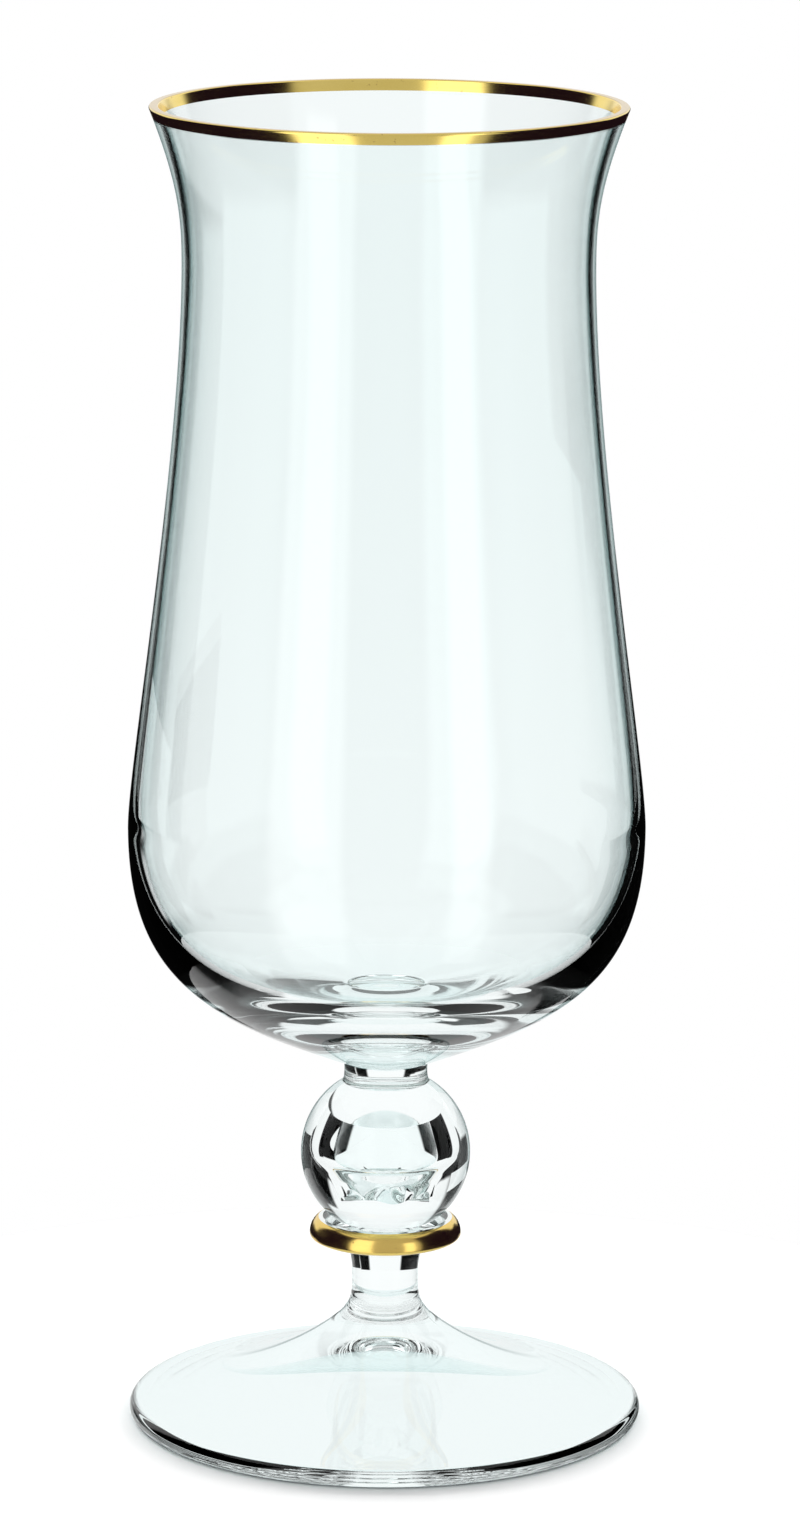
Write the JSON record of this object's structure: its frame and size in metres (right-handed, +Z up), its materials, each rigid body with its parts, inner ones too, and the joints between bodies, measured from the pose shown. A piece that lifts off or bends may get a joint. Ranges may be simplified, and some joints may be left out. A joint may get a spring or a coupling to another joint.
{
  "type": "tulip beer glass",
  "caption": "Stemmed tulip beer glass: flared lip, full belly, hollow ball knop, gilded collar and gilded rim, short leg on a spread round foot.",
  "frame": {"origin": "centre of the foot's underside, where the glass's axis meets the table", "axes": "+Z up along the axis of symmetry, from the foot to the lip; X and Y are alike, because every piece is turned"},
  "size_m": [0.0778, 0.0778, 0.2],
  "materials": {
    "bowl_glass": "clear blown soda glass, fire polished, faint green-grey tint",
    "stem_glass": "clear solid and blown glass, fire polished",
    "foot_glass": "clear spun glass, fire polished",
    "rim_gold": "burnished fired gold with fine brush lines round the rim",
    "collar_gold": "burnished fired gold over a rounded glass edge"
  },
  "bodies": {
    "root": {"bowl": "bowl_glass", "rim_gilding": "rim_gold", "neck_button": "stem_glass", "ball_knop": "stem_glass", "collar_ring": "stem_glass", "collar_gilding": "collar_gold", "leg": "stem_glass", "foot": "foot_glass"}
  },
  "joints": []
}
